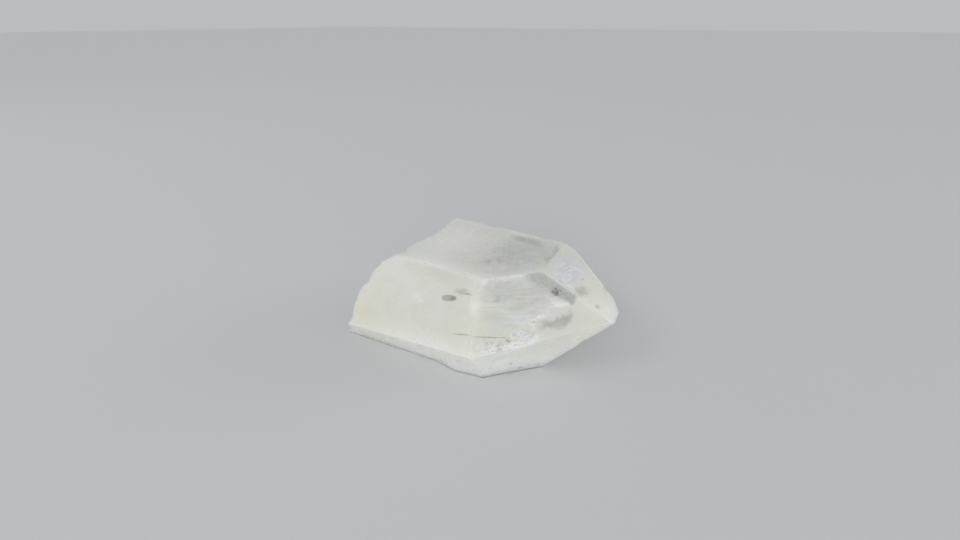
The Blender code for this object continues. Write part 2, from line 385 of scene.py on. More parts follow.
def convex_solid(name, normals, offsets):
    """The solid inside planes: its corners are where three planes meet and none cuts them off."""
    triples = np.array(list(itertools.combinations(range(len(normals)), 3)))
    systems = normals[triples]
    solvable = np.abs(np.linalg.det(systems)) > LEAST_VOLUME
    sides = offsets[triples[solvable]]
    points = np.linalg.solve(systems[solvable], sides[..., None])[..., 0]
    inside = (points @ normals.T - offsets).max(axis=1) < 10.0**-ROUND_DIGITS
    corners = np.unique(points[inside].round(ROUND_DIGITS), axis=0)
    cells = []
    for normal, offset in zip(normals, offsets):
        on_face = np.flatnonzero(np.abs(corners @ normal - offset) < ON_FACE)
        if len(on_face) < 3:
            continue
        spokes = corners[on_face] - corners[on_face].mean(axis=0)
        first = unit(spokes[0])
        angles = np.arctan2(spokes @ np.cross(normal, first), spokes @ first)
        cells.append(on_face[np.argsort(angles)].tolist())
    return add_piece(name, corners, cells)


def wear_edges(piece, face_material, edge_material):
    """Merge corners that are nearly one, and round every edge by the wear."""
    piece.data.materials.append(face_material)
    piece.data.materials.append(edge_material)
    builder = bmesh.new()
    builder.from_mesh(piece.data)
    bmesh.ops.remove_doubles(builder, verts=builder.verts, dist=CORNER_MERGE * MM)
    bmesh.ops.bevel(
        builder,
        geom=builder.edges[:],
        offset=EDGE_WEAR * MM,
        segments=EDGE_STEPS,
        profile=0.5,
        affect="EDGES",
        clamp_overlap=True,
        material=1,
    )
    builder.to_mesh(piece.data)
    builder.free()


def build_broken_off():
    """What broke off the base: a block between the broken relief and a flat far side."""
    counts = [round(size / BREAK_CELL) + 1 for size in BREAK_SIZE]
    across, up = np.meshgrid(
        np.linspace(-0.5, 0.5, counts[0]) * BREAK_SIZE[0],
        np.linspace(-0.5, 0.5, counts[1]) * BREAK_SIZE[1],
    )
    flat = BREAK_CENTRE + across[..., None] * BREAK_ACROSS + up[..., None] * BREAK_UP
    near = flat + break_relief(across, up)[..., None] * BREAK_NORMAL
    far = flat + BREAK_DEPTH * BREAK_NORMAL
    rows, columns = across.shape
    sheet = triangles(grid_cells(rows, columns))
    numbers = np.arange(rows * columns).reshape(rows, columns)
    rim = np.concatenate(
        (numbers[0, :-1], numbers[:-1, -1], numbers[-1, :0:-1], numbers[:0:-1, 0])
    )
    following = np.roll(rim, -1)
    shift = rows * columns
    walls = np.stack((rim, following, following + shift, rim + shift), axis=-1)
    cells = np.vstack((sheet[:, ::-1], sheet + shift, triangles(walls)))
    points = np.vstack((near.reshape(-1, 3), far.reshape(-1, 3)))
    return add_piece("broken_off", points, cells.tolist())


def edge_points(first, second, places_x):
    """The points at given X on the edges where pairs of faces meet."""
    side_a = OFFSETS[first] - NORMALS[first, 0] * places_x
    side_b = OFFSETS[second] - NORMALS[second, 0] * places_x
    turn = NORMALS[first, 1] * NORMALS[second, 2] - NORMALS[first, 2] * NORMALS[second, 1]
    places_y = (side_a * NORMALS[second, 2] - side_b * NORMALS[first, 2]) / turn
    places_z = (NORMALS[first, 1] * side_b - NORMALS[second, 1] * side_a) / turn
    return np.stack((places_x, places_y, places_z), axis=-1)


def build_chips():
    """Shell-shaped nicks: balls, flattened over the edges that they sit on."""
    first = np.array([FACE_NUMBER[chip[0]] for chip in CHIPS])
    second = np.array([FACE_NUMBER[chip[1]] for chip in CHIPS])
    places_x, radii, depths = np.array([chip[2:] for chip in CHIPS]).T
    outward = unit(NORMALS[first] + NORMALS[second])
    centres = edge_points(first, second, places_x)
    centres = centres + outward * (radii * CHIP_FLATTENING - depths)[:, None]
    ball = ball_points(*CHIP_GRID)
    heights = ball @ outward.T
    flat = ball[:, None] - outward * heights[..., None] * (1.0 - CHIP_FLATTENING)
    points = (centres + flat * radii[:, None]).transpose(1, 0, 2)
    shifts = np.arange(len(CHIPS)) * len(ball)
    cells = (grid_cells(*CHIP_GRID, closed=True) + shifts[:, None, None]).reshape(-1, 4)
    return add_piece("chips", points.reshape(-1, 3), cells[:, ::-1].tolist())


def build_layer(face_name, start, end, thickness):
    """The last growth on a face: the crystal again with that face further out, between two ends."""
    number = FACE_NUMBER[face_name]
    offsets = OFFSETS - LAYER_INSET
    offsets[number] = OFFSETS[number] + thickness
    turn = FACES[face_name][0]
    ends = np.array((face_normals(turn, LAYER_END_SLOPE), -face_normals(turn, -LAYER_END_SLOPE)))
    outward = unit(NORMALS[number] * (0.0, 1.0, 1.0))
    feet = np.array([(place, AXIS_POINT[1], AXIS_POINT[2]) for place in (end, start)])
    rise = (OFFSETS[number] - feet @ NORMALS[number]) / (NORMALS[number] @ outward)
    return convex_solid(
        "layer_" + face_name, *add_planes(NORMALS, offsets, ends, feet + outward * rise[:, None])
    )


def applied(piece, name):
    """A new object whose mesh is the piece's with its modifiers applied; the piece is removed."""
    evaluated = piece.evaluated_get(bpy.context.evaluated_depsgraph_get())
    mesh = bpy.data.meshes.new_from_object(evaluated)
    mesh.name = name
    bpy.data.objects.remove(piece)
    return add_object(name, mesh)


def build_skin(clear, worn_and_shaded, broken):
    """The crystal's surface: flat worn faces, the swelling, growth layers, chips and broken base."""
    far_plane = (BREAK_PLANE[0], BREAK_PLANE[1], BREAK_PLANE[2] + BREAK_SPARE)
    far_normals, far_offsets = planes([far_plane])
    skin = convex_solid(
        "skin_block", np.vstack((NORMALS, far_normals)), np.append(OFFSETS, far_offsets)
    )
    wear_edges(skin, clear, worn_and_shaded)
    swelling = convex_solid("swelling", SWELLING_NORMALS, SWELLING_OFFSETS)
    wear_edges(swelling, clear, worn_and_shaded)
    tools = [(swelling, "UNION", None)]
    tools += [(build_layer(*layer), "UNION", clear) for layer in GROWTH_LAYERS]
    tools += [(build_broken_off(), "DIFFERENCE", broken), (build_chips(), "DIFFERENCE", broken)]
    for tool, operation, material in tools:
        if material:
            tool.data.materials.append(material)
        modifier = skin.modifiers.new(tool.name, "BOOLEAN")
        modifier.operation = operation
        modifier.solver = "EXACT"
        modifier.material_mode = "TRANSFER"
        modifier.object = tool
    skin = applied(skin, "skin_cut")
    for tool, _, _ in tools:
        bpy.data.objects.remove(tool)
    skin.data.shade_smooth()
    skin.data.set_sharp_from_angle(angle=math.radians(SHARP_ANGLE))
    weighted = skin.modifiers.new("flat faces", "WEIGHTED_NORMAL")
    weighted.keep_sharp = True
    return applied(skin, "crystal_skin")


# -------------------------------- places on a face


def face_frame(face_name):
    """A face's origin, and its directions towards the tip, across, and outward."""
    normal = NORMALS[FACE_NUMBER[face_name]]
    origin = AXIS_POINT + normal * FACES[face_name][2]
    along = unit(np.array((1.0, 0.0, 0.0)) - normal * normal[0])
    return origin, along, np.cross(normal, along), normal


def patch_frame(face_name, along, across, turn_deg):
    """A place on a face, and its directions turned about the face's outward one."""
    origin, first, second, normal = face_frame(face_name)
    turn = math.radians(turn_deg)
    turned = first * math.cos(turn) + second * math.sin(turn)
    return origin + first * along + second * across, turned, np.cross(normal, turned), normal


# -------------------------------- the milky heart


def cloudiness(points):
    """Smooth noise from about -1 to 1: the sum of sines with random directions and phases."""
    random = np.random.default_rng(CLOUD_SEED)
    directions = unit(random.normal(size=(CLOUD_WAVES, 3)))
    directions = directions * random.uniform(*CLOUD_PITCH, (CLOUD_WAVES, 1))
    phases = random.uniform(0.0, math.tau, CLOUD_WAVES)
    waves = np.sin(points @ directions.T * math.tau / CLOUD_SPACING + phases)
    return waves.sum(axis=1) / math.sqrt(2.0 * CLOUD_WAVES)


def clear_depth(points):
    """How deep the clear quartz is: the sum of bell shapes exp(-r^2) round the clear patches."""
    depth = np.zeros(len(points))
    for face, along, across, half_length, half_width, turn_deg, _, patch_depth in CLEAR_PATCHES:
        place, first, second, normal = patch_frame(face, along, across, turn_deg)
        offset = points - place
        reach = np.hypot(offset @ first / half_length, offset @ second / half_width)
        below = offset @ normal / PATCH_REACH
        depth += patch_depth * np.exp(-(reach**2) - below**2)
    return depth


def crystal_height(points):
    """Height over the crystal's surface with rounded edges: log of the sum of the exponentials
    of the heights over all faces, and over the swelling where that is lower."""
    offset = points - BREAK_CENTRE
    relief = break_relief(offset @ BREAK_ACROSS, offset @ BREAK_UP)
    broken = offset @ BREAK_NORMAL - relief
    faces = points @ NORMALS.T - OFFSETS
    swelling = (points @ SWELLING_NORMALS.T - SWELLING_OFFSETS).max(axis=1)
    heights = np.column_stack((faces, broken))
    top = heights.max(axis=1, keepdims=True)
    spread = np.exp(HEART_ROUNDING * (heights - top)).sum(axis=1)
    rounded = top[:, 0] + np.log(spread) / HEART_ROUNDING
    return np.minimum(rounded, swelling + SWELLING_RIND)


def build_heart(material):
    """The milky heart, on a ball of directions from its middle: along each, the distance where the
    height is minus the rind and the cloudy clear depth, found by halving the way."""
    ball = ball_points(*HEART_GRID)
    directions = unit(ball[:, (2, 0, 1)] * (HEART_STRETCH, 1.0, 1.0))
    near = np.zeros(len(directions))
    far = np.full(len(directions), HEART_REACH)
    for _ in range(HEART_HALVINGS):
        middle = (near + far) / 2.0
        points = HEART_MIDDLE + directions * middle[:, None]
        depth = clear_depth(points) * (1.0 + CLOUD_RELIEF * cloudiness(points))
        outside = crystal_height(points) + RIND + depth > 0.0
        far = np.where(outside, middle, far)
        near = np.where(outside, near, middle)
    points = HEART_MIDDLE + directions * near[:, None]
    cells = grid_cells(*HEART_GRID, closed=True).tolist()
    return add_piece("milky_heart", points, cells, (material,))


# -------------------------------- fractures under a face


def build_fracture(name, face_name, seed, lower, upper, material):
    """A crinkled sheet under a face, ruled between a lower and an upper line of (along, across)
    points; every cell is a facet of its own, tilted at random by the crinkle. Its attributes say
    how each facet glints, and where the sheet is whole: sqrt(sin pi u) sin pi v."""
    random = np.random.default_rng(seed)
    lower = np.array(lower, float)
    upper = np.array(upper, float)
    length = np.linalg.norm(np.diff(lower, axis=0), axis=1).sum()
    width = np.linalg.norm(upper - lower, axis=1).max()
    columns = max(FEWEST_CORNERS, round(length / FRACTURE_CELL))
    rows = max(FEWEST_CORNERS, round(width / FRACTURE_CELL))
    u, v = np.meshgrid(np.linspace(0, 1, columns), np.linspace(0, 1, rows), indexing="ij")
    stops = np.linspace(0, 1, len(lower))
    low = np.stack([np.interp(u, stops, lower[:, axis]) for axis in (0, 1)], axis=-1)
    high = np.stack([np.interp(u, stops, upper[:, axis]) for axis in (0, 1)], axis=-1)
    place = low + (high - low) * v[..., None]
    inner = place[1:-1, 1:-1]
    inner += random.uniform(-FRACTURE_JITTER, FRACTURE_JITTER, inner.shape) * FRACTURE_CELL
    sink = FRACTURE_DEPTH + FRACTURE_CRINKLE * random.uniform(-0.5, 0.5, u.shape)
    origin, along, across, normal = face_frame(face_name)
    points = origin + place[..., :1] * along + place[..., 1:] * across - sink[..., None] * normal
    cells = triangles(grid_cells(columns, rows)).tolist()
    piece = add_piece(name, points.reshape(-1, 3), cells, (material,), smooth=False, closed=False)
    glints = piece.data.attributes.new("glint", "FLOAT", "FACE")
    glints.data.foreach_set("value", random.random(len(piece.data.polygons)).astype(np.float32))
    cover = np.sin(np.pi * u) ** 0.5 * np.sin(np.pi * v)
    covers = piece.data.attributes.new("cover", "FLOAT", "POINT")
    covers.data.foreach_set("value", cover.ravel().astype(np.float32))
    return piece


# -------------------------------- colours and marks


def linear(red, green, blue):
    """A colour given as a screen shows it, from 0 to 255, as linear light."""
    shades = [
        shade / 12.92 if shade <= 0.04045 else ((shade + 0.055) / 1.055) ** 2.4
        for shade in (red / 255.0, green / 255.0, blue / 255.0)
    ]
    return (*shades, 1.0)


QUARTZ_IOR = 1.544
HAZE_COLOUR = (0.72, 0.77, 0.74, 1.0)
HAZE_DENSITY = 8.0
GLOW = {
    "Subsurface Weight": 1.0,
    "Subsurface Radius": (1.0, 0.97, 0.9),
    "Subsurface Scale": 10.0 * MM,
}

MILK = linear(223, 223, 216)
MILK_WARM = linear(220, 219, 205)
MILK_GREY = linear(207, 210, 206)
MILK_BRIGHT = linear(250, 250, 248)
MILK_WHITE = linear(243, 243, 238)
WHITE_MIDDLE = (5.0, 0.0, 0.0)  # the crystal is whiter low down
WHITE_SIZE = (62.0, 60.0, 21.0)
HEART_WHITE = linear(253, 254, 253)
# painted shade for the worn edges, which the lamps light from both faces
EDGE_PAINTED_SHADE = linear(190, 191, 186)
EDGE_SHADE_SHARE = 0.8  # how grey the worn edges are, as light fills them from both sides
FACE_BUMP = 0.03
BREAK_BUMP = 0.25
GROWTH_TURN = (0.0, 0.0, math.radians(40.8))  # the growth lines run along the tip face's upper edge
# painted glints: the fracture's facets painted bright and dark
FRACTURE_PAINTED_DARK_GLINT = linear(150, 153, 150)
FRACTURE_PAINTED_GLINT = linear(254, 254, 252)
FRACTURE_DARK_SHARE = 0.2
FRACTURE_GAPS = 1.4  # the size of the gaps in a fracture
TABLE_COLOUR = linear(214, 215, 216)
TABLE_MOTTLE = linear(209, 210, 211)

UNEVEN_SIZE = 2.5  # the waves in the outlines of wavy spots, and how far they shift them
UNEVEN_SHIFT = 2.0
SPOT_DEPTH = 0.6  # how deep a plain spot reaches under its face
WAVY_DEPTH = 3.0  # deeper, as waves shift it

# Marks in the milk just under the faces, some of them painted light and painted shade, in groups:
# their colour, how strong they are, whether their outlines are wavy, and each one's face, along,
# across, half length, half width, turn (0 if not given) and softness (1 if not given).
MARKS = (
    # painted light: the left part of the top face made paler
    (linear(244, 244, 239), 0.6, False, (  # a paler stretch
        ("m1_top", -27.0, 1.0, 19.0, 30.0),
    )),
    # painted light: the tip face and the lower tip face, which turn away from the lamps, made whiter
    (linear(252, 252, 241), 0.4, False, (  # the whitest quartz, at the tip
        ("t1_top", 22.0, 6.0, 10.0, 16.0, 0.0, 0.9),
        ("t1_top", 13.0, 6.0, 15.0, 18.0, 0.0, 0.8),
        ("t3_front_lower", 18.0, -3.0, 14.0, 9.0),
    )),
    # painted shade: the front face darkened along its upper edge, where it is lit more than the top
    # face
    (linear(196, 197, 190), 0.5, False, (  # a darker stretch along the upper edge
        ("m2_front_upper", -18.0, 8.5, 26.0, 8.0),
    )),
    (linear(216, 214, 192), 0.5, False, (  # a warmer corner
        ("m2_front_upper", -48.0, -15.0, 12.0, 9.0, -35.0),
    )),
    (linear(214, 222, 228), 0.45, True, (  # smooth bluish quartz
        ("t2_front_upper", -3.0, -2.0, 5.0, 4.0, 20.0),
        ("t2_front_upper", -8.5, -6.2, 5.5, 4.0, 10.0),
        ("t1_top", 2.4, 12.5, 4.5, 5.0),
        ("m1_top", 5.0, 0.0, 5.0, 9.0),
    )),
    (linear(226, 229, 238), 0.7, True, (  # cooler quartz beside the tip face's edge
        ("t1_top", 3.6, 6.5, 8.5, 15.0, 0.0, 0.8),
    )),
    (linear(250, 251, 253), 0.6, True, (  # whiter veils
        ("t3_front_lower", 3.0, -7.5, 5.0, 2.6, -20.0),
        ("t3_front_lower", -4.0, 5.4, 9.0, 1.6, -8.0),
        ("t3_front_lower", 13.0, -1.0, 1.8, 1.4),
        ("m1_top", 6.6, 18.4, 2.4, 1.2),
        ("m1_top", -6.4, 17.8, 1.8, 1.4),
        ("m1_top", -11.0, 19.2, 1.6, 1.0),
        ("m1_top", -1.6, 18.8, 1.6, 1.0),
        ("t2_front_upper", 8.6, 5.0, 4.5, 1.2, 20.0),
        ("t2_front_upper", -3.0, -12.4, 8.0, 1.5, 24.0),
        ("t2_front_upper", 4.0, -7.6, 4.0, 1.3, 55.0),
        ("t2_front_upper", 3.4, -1.0, 6.5, 1.1, 50.0),
    )),
    # painted light: bright rims where light glows through the thin edges, a highlight line along an
    # edge, and small bright facets
    (linear(255, 254, 246), 0.9, False, (  # bright rims
        ("t1_top", 11.4, 17.4, 13.0, 2.0, -14.0),
        ("t1_top", 23.6, 12.9, 4.4, 2.0, -46.0),
        ("t1_top", 25.6, 7.4, 6.5, 8.5, 0.0, 0.8),
        ("m1_top", 5.6, -10.2, 6.6, 0.5, 40.5),
        ("t1_top", 4.8, 10.1, 0.9, 1.3, -20.0, 0.5),
        ("t1_top", 8.9, 9.6, 0.35, 2.0, -28.0, 0.7),
        ("t1_top", 8.0, 11.6, 0.3, 1.8, 20.0, 0.7),
        ("t1_top", 0.8, 7.2, 0.3, 2.0, -30.0, 0.8),
        ("t1_top", 6.2, 4.6, 0.35, 2.6, -8.0, 0.8),
        ("t1_top", -1.3, 19.0, 4.0, 1.2, 20.0),
        ("m1_top", -10.0, 20.0, 24.0, 0.9, -3.3),
        ("m1_top", -38.2, 0.0, 1.4, 18.0),
    )),
    # painted light along the top face's edge with the front face, evening the shading across it; the
    # three on the front face are faint lighter stretches
    (linear(250, 251, 250), 0.3, False, (  # faint lighter stretches, one of them along the edge
        ("m2_front_upper", -2.8, -1.2, 3.6, 3.6, 0.0, 0.9),
        ("m2_front_upper", -25.5, -3.8, 3.4, 2.2, 10.0),
        ("m2_front_upper", -23.0, -4.6, 1.4, 1.2),
        ("m1_top", -20.0, -15.5, 24.0, 8.0),
    )),
    (linear(138, 138, 131), 0.42, True, (  # soft grey spots
        ("m2_front_upper", -8.8, 2.3, 3.0, 1.2, 8.0),
        ("m1_top", -7.6, -6.2, 2.6, 3.2),
        ("m1_top", -4.0, -4.0, 2.6, 2.8),
        ("m1_top", -6.5, 14.8, 5.5, 2.2, -18.0),
        ("m1_top", 1.2, 12.8, 4.0, 2.0, -25.0),
        ("m1_top", -1.5, 14.8, 7.5, 3.2, -12.0),
        ("m1_top", -0.8, 6.2, 2.8, 2.0),
        ("m1_top", 9.0, 4.4, 1.4, 1.7, 0.0, 0.8),
        ("m1_top", 8.4, 12.5, 1.3, 6.5, 8.0, 0.9),
        ("m1_top", 9.6, 6.8, 0.7, 13.5, 4.9),
        ("t2_front_upper", 7.5, -2.0, 5.0, 1.8, 20.0, 0.9),
        ("t2_front_upper", 12.0, 0.8, 4.4, 2.4, 45.0, 0.9),
        ("t2_front_upper", -10.6, 2.0, 1.6, 1.6),
        ("t3_front_lower", -8.6, -2.8, 1.5, 1.4),
        ("t1_top", 18.3, 3.4, 2.0, 1.8, 30.0),
    )),
    (linear(142, 139, 118), 0.32, False, (  # smoke by the tip
        ("t1_top", 11.3, 2.9, 2.8, 6.6, -18.0),
    )),
    (linear(132, 130, 124), 0.5, False, (  # a grey oval and a few flecks
        ("m2_front_upper", -12.8, -0.9, 3.2, 1.3, 14.0, 0.35),
        ("m2_front_upper", -11.1, -0.5, 1.6, 1.0, 20.0, 0.6),
        ("m2_front_upper", -6.4, 2.2, 1.9, 0.5, 6.0, 0.8),
        ("t3_front_lower", -6.0, -7.3, 1.3, 0.6, 0.0, 0.6),
        ("t2_front_upper", -4.0, -9.9, 1.1, 0.6, -20.0, 0.5),
        ("t2_front_upper", -5.6, -9.2, 0.8, 0.3, 0.0, 0.5),
        ("t1_top", 3.3, 7.7, 0.4, 1.1, -25.0, 0.6),
        ("t1_top", 9.3, 9.0, 0.4, 1.0, 15.0, 0.6),
    )),
    (linear(90, 91, 86), 0.65, False, (  # hairline cracks
        ("m2_front_upper", -5.5, -10.6, 5.0, 0.2, 14.0, 0.8),
        ("t2_front_upper", -10.5, -10.2, 6.5, 0.2, 10.5, 0.8),
    )),
    (linear(222, 180, 120), 0.4, False, (  # a glint of iron
        ("t1_top", 10.8, 5.2, 0.8, 1.2, 0.0, 0.9),
    )),
)

# Streaks along the growth lines: where they show, their direction, how long they are for their
# width, and how much they whiten and grey the milk.
STREAKS = (
    (("t2_front_upper", -3.0, 2.0, 16.0, 8.5, 17.0, 0.6), 17.0, 10.0, 0.45, 0.2),
    (("m1_top", -3.0, 3.0, 20.0, 20.0, 0.0, 0.9), -68.0, 8.0, 0.35, 0.18),
    (("t1_top", 4.6, 5.0, 6.5, 13.0, 0.0, 0.7), 82.0, 7.0, 0.9, 0.12),
)

# Painted glints: where fractures under a face glitter, as bright and dark grains in the milk; as the
# marks, and how strongly.
PAINTED_GLINT_SPOTS = (
    ("t2_front_upper", -8.5, -13.2, 8.0, 2.6, 10.0, 0.6, 0.85),
    ("t2_front_upper", 0.3, -7.6, 5.6, 3.0, 25.0, 0.6, 0.85),
    ("t2_front_upper", 3.4, -1.4, 6.5, 1.5, 50.0, 0.8, 0.7),
    ("t2_front_upper", 9.6, 4.8, 4.0, 1.4, 22.0, 0.8, 0.35),
    ("t2_front_upper", -2.5, -11.8, 6.0, 1.8, 25.0, 0.8, 0.7),
    ("t2_front_upper", 10.8, 7.7, 3.2, 1.4, -18.0, 0.5, 0.8),
    ("t1_top", 6.0, -1.8, 3.8, 2.6, 15.0, 0.8, 1.0),
    ("t1_top", 6.6, 9.5, 4.6, 5.0, 0.0, 0.9, 0.5),
    ("t3_front_lower", 2.5, -7.5, 4.0, 2.0, -20.0, 0.9, 0.6),
)
# the painted highlight and the painted dark of the fracture glints; the dark one also greys the
# streaks
GLINT_PAINTED_HIGHLIGHT = linear(255, 255, 255)
GLINT_SHADE_AND_STREAK_GREY = linear(112, 114, 110)

# The window: clear quartz under the tip face, darkened by painted shade where dark depth shows
# through; its face, the start of its lower border, the border's turn; how far it reaches along the
# border (starts to show, is full, starts to end, has ended); how softly it fades across it at its
# first and last end.
WINDOW = ("t2_front_upper", 4.0, 8.1, -14.0)
WINDOW_REACH = (-11.5, -7.0, 9.2, 10.2)
WINDOW_FADE = (5.5, 1.0)
WINDOW_BORDER = 2.0  # how ragged its lower border is, and the size of the rags
WINDOW_SOFTNESS = 0.6  # how wide the fade across the border is, to either side
WINDOW_DEPTHS = (-0.5, -0.2)  # the heights at its face between which it begins
WINDOW_CLEAR = 0.25
# painted shade of the window and its darker painted marks
WINDOW_PAINTED_SHADE = linear(164, 166, 163)
WINDOW_PAINTED_DARK = linear(78, 80, 79)
WINDOW_PAINTED_MARKS = (
    ("t2_front_upper", 6.2, 8.2, 0.9, 0.6, 0.0, 0.3),
    ("t2_front_upper", 7.2, 7.8, 1.0, 0.65, 0.0, 0.3),
    ("t2_front_upper", 7.4, 8.6, 0.7, 0.45, 0.0, 0.4),
    ("t2_front_upper", 6.9, 9.3, 0.9, 0.35, -20.0, 0.4),
    ("t2_front_upper", 8.1, 9.2, 0.7, 0.35, -20.0, 0.4),
)

# -------------------------------- materials


class Signal:
    """A node's output, which can be used in sums with numbers and other outputs."""

    def __init__(self, recipe, socket):
        self.recipe = recipe
        self.socket = socket

    def maths(self, operation, first, second):
        return self.recipe.add("ShaderNodeMath", {"operation": operation}, {0: first, 1: second})

    def __add__(self, other):
        return self.maths("ADD", self, other)

    def __radd__(self, other):
        return self.maths("ADD", other, self)

    def __sub__(self, other):
        return self.maths("SUBTRACT", self, other)

    def __rsub__(self, other):
        return self.maths("SUBTRACT", other, self)

    def __mul__(self, other):
        return self.maths("MULTIPLY", self, other)

    def __rmul__(self, other):
        return self.maths("MULTIPLY", other, self)

    def __truediv__(self, other):
        return self.maths("DIVIDE", self, other)

    def maximum(self, other):
        return self.maths("MAXIMUM", self, other)

    def step(self, low, high):
        """A smooth step from 0 at low to 1 at high."""
        return self.recipe.add(
            "ShaderNodeMapRange",
            {"interpolation_type": "SMOOTHSTEP", "clamp": False},
            {"Value": self, "From Min": low, "From Max": high},
        )


class Recipe:
    """A material and its nodes."""

    def __init__(self, name):
        self.material = bpy.data.materials.new(name)
        self.material.use_nodes = True
        self.tree = self.material.node_tree
        self.tree.nodes.clear()
        self.output = self.tree.nodes.new("ShaderNodeOutputMaterial")
        self.position = self.add("ShaderNodeTexCoord", output="Object")
        self.uneven = self.position

    def add(self, kind, settings=None, inputs=None, output=0):
        """A new node: settings first, then its sockets' values or links; returns one output."""
        node = self.tree.nodes.new(kind)
        for setting, value in (settings or {}).items():
            setattr(node, setting, value)
        for key, value in (inputs or {}).items():
            if isinstance(value, Signal):
                self.tree.links.new(value.socket, node.inputs[key])
            else:
                node.inputs[key].default_value = value
        return node if output is None else Signal(self, node.outputs[output])

    def bump(self, height, distance):
        """Relief of a height from 0 to 1, which stands for a distance in mm."""
        inputs = {"Height": height, "Strength": 1.0, "Distance": distance * MM}
        return self.add("ShaderNodeBump", {}, inputs)

    def principled(self, inputs):
        return self.add("ShaderNodeBsdfPrincipled", {}, inputs)

    def finish(self, surface, volume=None):
        self.tree.links.new(surface.socket, self.output.inputs["Surface"])
        if volume:
            self.tree.links.new(volume.socket, self.output.inputs["Volume"])
        return self.material

    def mix(self, factor, first, second):
        """A colour that goes from first to second as the factor goes from 0 to 1."""
        inputs = {0: factor, 6: first, 7: second}
        return self.add("ShaderNodeMix", {"data_type": "RGBA"}, inputs, output=2)

    def unevenly(self, size, shift):
        """From here on, wavy blobs have outlines that waves about size mm long shift by up to
        shift mm."""
        waves = self.noise(size, 4.0, 0.5, output="Color")
        centred = self.vector_maths("SUBTRACT", {0: waves, 1: (0.5, 0.5, 0.5)})
        scaled = self.vector_maths("SCALE", {0: centred, "Scale": 2.0 * shift * MM})
        self.uneven = self.vector_maths("ADD", {0: self.position, 1: scaled})

    def vector_maths(self, operation, inputs):
        return self.add("ShaderNodeVectorMath", {"operation": operation}, inputs)

    def placed(self, middle, size, turn=(0.0, 0.0, 0.0), vector=None):
        """Object coordinates moved to a middle, turned, and divided by a size, all in mm."""
        return self.add(
            "ShaderNodeMapping",
            {"vector_type": "TEXTURE"},
            {
                "Vector": vector or self.position,
                "Location": Vector(middle) * MM,
                "Rotation": turn,
                "Scale": Vector(size) * MM,
            },
        )

    def blob(self, middle, size, turn=(0.0, 0.0, 0.0), soft=0.5, wavy=False):
        """1 inside an ellipsoid, fading to 0 at its surface, which may be wavy."""
        depth = self.add(
            "ShaderNodeTexGradient",
            {"gradient_type": "SPHERICAL"},
            {"Vector": self.placed(middle, size, turn, self.uneven if wavy else None)},
            output="Fac",
        )
        return depth.step(0.0, soft)

    def noise(
        self,
        size,
        detail=3.0,
        roughness=0.55,
        distortion=0.0,
        stretch=(1.0, 1.0, 1.0),
        turn=(0.0, 0.0, 0.0),
        output=0,
    ):
        """Cloudy noise from 0 to 1 with features about size mm across."""
        return self.add(
            "ShaderNodeTexNoise",
            {},
            {
                "Vector": self.placed((0.0, 0.0, 0.0), [size * s for s in stretch], turn),
                "Scale": 1.0,
                "Detail": detail,
                "Roughness": roughness,
                "Distortion": distortion,
            },
            output,
        )


def face_turn(face_name, turn_deg):
    """The turn from the crystal's axes to a face's, turned further about its outward direction."""
    return Matrix(patch_frame(face_name, 0.0, 0.0, turn_deg)[1:]).transposed().to_euler()


def spot(
    recipe, face_name, along, across, half_length, half_width, turn_deg=0.0, soft=1.0, wavy=True
):
    """A long spot on a face, at a place given along and across it."""
    place = patch_frame(face_name, along, across, turn_deg)[0]
    turn = face_turn(face_name, turn_deg)
    depth = WAVY_DEPTH if wavy else SPOT_DEPTH
    return recipe.blob(place, (half_length, half_width, depth), turn, soft, wavy)


def milk_colour(recipe):
    """White milk with warmer and greyer clouds and fine wisps, its marks (some of them painted light
    and
     painted shade), painted glints, streaks, and the window's painted shade."""
    recipe.unevenly(UNEVEN_SIZE, UNEVEN_SHIFT)
    clouds = recipe.noise(20.0, 3.0, 0.55).step(0.3, 0.7)
    wisps = recipe.noise(3.0, 5.0, 0.6, stretch=(3.0, 1.0, 1.0), turn=GROWTH_TURN)
    colour = recipe.mix(clouds * 0.6, MILK, MILK_WARM)
    whiter = recipe.blob(WHITE_MIDDLE, WHITE_SIZE, soft=0.6)
    colour = recipe.mix(whiter, colour, MILK_WHITE)
    colour = recipe.mix(wisps.step(0.2, 0.9) * 0.3, colour, MILK_GREY)
    for shade, strength, wavy, marks in MARKS:
        for mark in marks:
            colour = recipe.mix(spot(recipe, *mark, wavy=wavy) * strength, colour, shade)
    return with_painted_window(recipe, streaked(recipe, with_painted_glints(recipe, colour)))


def with_painted_glints(recipe, colour):
    """The colour with painted glints, bright and dark grains, where fractures glitter."""
    there = 0.0
    for *mark, strength in PAINTED_GLINT_SPOTS:
        there = (spot(recipe, *mark) * strength).maximum(there)
    grain = recipe.noise(0.75, 6.0, 0.85, 0.6, stretch=(1.7, 1.0, 1.0), turn=GROWTH_TURN)
    colour = recipe.mix(there * grain.step(0.45, 0.56), colour, GLINT_PAINTED_HIGHLIGHT)
    return recipe.mix(there * (1.0 - grain.step(0.38, 0.45)) * 0.8, colour, GLINT_SHADE_AND_STREAK_GREY)


def streaked(recipe, colour):
    """The colour with bright and dark streaks along the growth lines."""
    for area, turn_deg, length, whiten, darken in STREAKS:
        there = spot(recipe, *area)
        turn = face_turn(area[0], turn_deg)
        streaks = recipe.noise(0.7, 4.0, 0.7, stretch=(length, 1.0, 1.0), turn=turn)
        colour = recipe.mix(there * streaks.step(0.48, 0.62) * whiten, colour, MILK_BRIGHT)
        shade = there * (1.0 - streaks.step(0.3, 0.48)) * darken
        colour = recipe.mix(shade, colour, GLINT_SHADE_AND_STREAK_GREY)
    return colour


